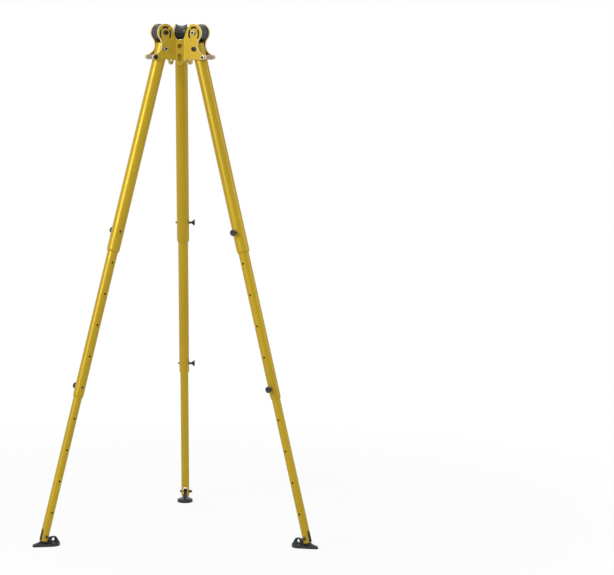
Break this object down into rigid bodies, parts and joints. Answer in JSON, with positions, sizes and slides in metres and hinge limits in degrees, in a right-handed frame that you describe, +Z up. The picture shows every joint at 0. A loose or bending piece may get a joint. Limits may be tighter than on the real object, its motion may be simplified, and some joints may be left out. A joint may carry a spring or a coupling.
{
  "type": "lifting tripod",
  "caption": "Telescopic aluminium tripod with bent head plates, rope pulleys over the legs, pull-out lock pins and tilting cast shoes, for hoisting over an opening.",
  "frame": {"origin": "centre of the footprint, on the floor", "axes": "+Z up; -Y towards the head plate between the two front legs; the rear leg points along +Y"},
  "size_m": [1.349, 1.1715, 2.4299],
  "materials": {
    "yellow_coat": "satin coat",
    "dark_nylon": "matte",
    "bronze": "turned",
    "black_steel": "black oxide",
    "zinc_plate": "zinc plated",
    "pin_steel": "black knob",
    "cast_shoe": "as cast, painted"
  },
  "bodies": {
    "head": {"head_plate_front": "yellow_coat", "head_plate_rear_left": "yellow_coat", "head_plate_rear_right": "yellow_coat", "pulley_bush_front_left": "bronze", "axle_bolt_front_left": "black_steel", "axle_nut_front_left": "zinc_plate", "pivot_bolt_front_left": "black_steel", "pivot_nut_front_left": "zinc_plate", "stop_bolt_front_left": "black_steel", "stop_nut_front_left": "zinc_plate", "stop_spacer_front_left": "zinc_plate", "pulley_bush_front_right": "bronze", "axle_bolt_front_right": "black_steel", "axle_nut_front_right": "zinc_plate", "pivot_bolt_front_right": "black_steel", "pivot_nut_front_right": "zinc_plate", "stop_bolt_front_right": "black_steel", "stop_nut_front_right": "zinc_plate", "stop_spacer_front_right": "zinc_plate", "pulley_bush_rear": "bronze", "axle_bolt_rear": "black_steel", "axle_nut_rear": "zinc_plate", "pivot_bolt_rear": "black_steel", "pivot_nut_rear": "zinc_plate", "stop_bolt_rear": "black_steel", "stop_nut_rear": "zinc_plate", "stop_spacer_rear": "zinc_plate"},
    "pulley_front_left": {"pulley_front_left": "dark_nylon"},
    "upper_front_left": {"upper_tube_front_left": "yellow_coat"},
    "middle_front_left": {"middle_tube_front_left": "yellow_coat", "middle_guide_front_left": "dark_nylon"},
    "lower_front_left": {"lower_tube_front_left": "yellow_coat", "lower_guide_front_left": "dark_nylon", "foot_bolt_front_left": "black_steel", "foot_nut_front_left": "zinc_plate"},
    "foot_front_left": {"foot_front_left": "cast_shoe"},
    "upper_pin_front_left": {"upper_lock_pin_front_left": "pin_steel"},
    "lower_pin_front_left": {"lower_lock_pin_front_left": "pin_steel"},
    "pulley_front_right": {"pulley_front_right": "dark_nylon"},
    "upper_front_right": {"upper_tube_front_right": "yellow_coat"},
    "middle_front_right": {"middle_tube_front_right": "yellow_coat", "middle_guide_front_right": "dark_nylon"},
    "lower_front_right": {"lower_tube_front_right": "yellow_coat", "lower_guide_front_right": "dark_nylon", "foot_bolt_front_right": "black_steel", "foot_nut_front_right": "zinc_plate"},
    "foot_front_right": {"foot_front_right": "cast_shoe"},
    "upper_pin_front_right": {"upper_lock_pin_front_right": "pin_steel"},
    "lower_pin_front_right": {"lower_lock_pin_front_right": "pin_steel"},
    "pulley_rear": {"pulley_rear": "dark_nylon"},
    "upper_rear": {"upper_tube_rear": "yellow_coat"},
    "middle_rear": {"middle_tube_rear": "yellow_coat", "middle_guide_rear": "dark_nylon"},
    "lower_rear": {"lower_tube_rear": "yellow_coat", "lower_guide_rear": "dark_nylon", "foot_bolt_rear": "black_steel", "foot_nut_rear": "zinc_plate"},
    "foot_rear": {"foot_rear": "cast_shoe"},
    "upper_pin_rear": {"upper_lock_pin_rear": "pin_steel"},
    "lower_pin_rear": {"lower_lock_pin_rear": "pin_steel"}
  },
  "joints": [
    {"name": "pulley_spin_front_left", "type": "hinge", "parent": "head", "child": "pulley_front_left", "pos_m": [-0.08487, -0.23998, 2.3876], "axis": [0.5, -0.866, 0], "continuous": true},
    {"name": "leg_fold_front_left", "type": "hinge", "parent": "head", "child": "upper_front_left", "pos_m": [-0.0866, -0.24098, 2.3121], "axis": [0.5, -0.866, 0], "range_deg": [0, 15]},
    {"name": "middle_slide_front_left", "type": "slide", "parent": "upper_front_left", "child": "middle_front_left", "axis": [0.2241, 0.1294, 0.9659], "range_m": [0, 0.6]},
    {"name": "lower_slide_front_left", "type": "slide", "parent": "middle_front_left", "child": "lower_front_left", "axis": [0.2241, 0.1294, 0.9659], "range_m": [0, 0.6]},
    {"name": "foot_tilt_front_left", "type": "hinge", "parent": "lower_front_left", "child": "foot_front_left", "pos_m": [-0.61222, -0.54445, 0.047], "axis": [0.5, -0.866, 0], "range_deg": [-30, 25]},
    {"name": "upper_pin_pull_front_left", "type": "slide", "parent": "upper_front_left", "child": "upper_pin_front_left", "axis": [-0.5, 0.866, 0], "range_m": [0, 0.063]},
    {"name": "lower_pin_pull_front_left", "type": "slide", "parent": "middle_front_left", "child": "lower_pin_front_left", "axis": [-0.5, 0.866, 0], "range_m": [0, 0.052]},
    {"name": "pulley_spin_front_right", "type": "hinge", "parent": "head", "child": "pulley_front_right", "pos_m": [0.08487, -0.23998, 2.3876], "axis": [0.5, 0.866, 0], "continuous": true},
    {"name": "leg_fold_front_right", "type": "hinge", "parent": "head", "child": "upper_front_right", "pos_m": [0.0866, -0.24098, 2.3121], "axis": [0.5, 0.866, 0], "range_deg": [0, 15]},
    {"name": "middle_slide_front_right", "type": "slide", "parent": "upper_front_right", "child": "middle_front_right", "axis": [-0.2241, 0.1294, 0.9659], "range_m": [0, 0.6]},
    {"name": "lower_slide_front_right", "type": "slide", "parent": "middle_front_right", "child": "lower_front_right", "axis": [-0.2241, 0.1294, 0.9659], "range_m": [0, 0.6]},
    {"name": "foot_tilt_front_right", "type": "hinge", "parent": "lower_front_right", "child": "foot_front_right", "pos_m": [0.61222, -0.54445, 0.047], "axis": [0.5, 0.866, 0], "range_deg": [-30, 25]},
    {"name": "upper_pin_pull_front_right", "type": "slide", "parent": "upper_front_right", "child": "upper_pin_front_right", "axis": [-0.5, -0.866, 0], "range_m": [0, 0.063]},
    {"name": "lower_pin_pull_front_right", "type": "slide", "parent": "middle_front_right", "child": "lower_pin_front_right", "axis": [-0.5, -0.866, 0], "range_m": [0, 0.052]},
    {"name": "pulley_spin_rear", "type": "hinge", "parent": "head", "child": "pulley_rear", "pos_m": [0, -0.09298, 2.3876], "axis": [-1, 0, 0], "continuous": true},
    {"name": "leg_fold_rear", "type": "hinge", "parent": "head", "child": "upper_rear", "pos_m": [0, -0.09098, 2.3121], "axis": [-1, 0, 0], "range_deg": [0, 15]},
    {"name": "middle_slide_rear", "type": "slide", "parent": "upper_rear", "child": "middle_rear", "axis": [0, -0.2588, 0.9659], "range_m": [0, 0.6]},
    {"name": "lower_slide_rear", "type": "slide", "parent": "middle_rear", "child": "lower_rear", "axis": [0, -0.2588, 0.9659], "range_m": [0, 0.6]},
    {"name": "foot_tilt_rear", "type": "hinge", "parent": "lower_rear", "child": "foot_rear", "pos_m": [0, 0.51595, 0.047], "axis": [-1, 0, 0], "range_deg": [-30, 25]},
    {"name": "upper_pin_pull_rear", "type": "slide", "parent": "upper_rear", "child": "upper_pin_rear", "axis": [1, 0, 0], "range_m": [0, 0.063]},
    {"name": "lower_pin_pull_rear", "type": "slide", "parent": "middle_rear", "child": "lower_pin_rear", "axis": [1, 0, 0], "range_m": [0, 0.052]}
  ]
}
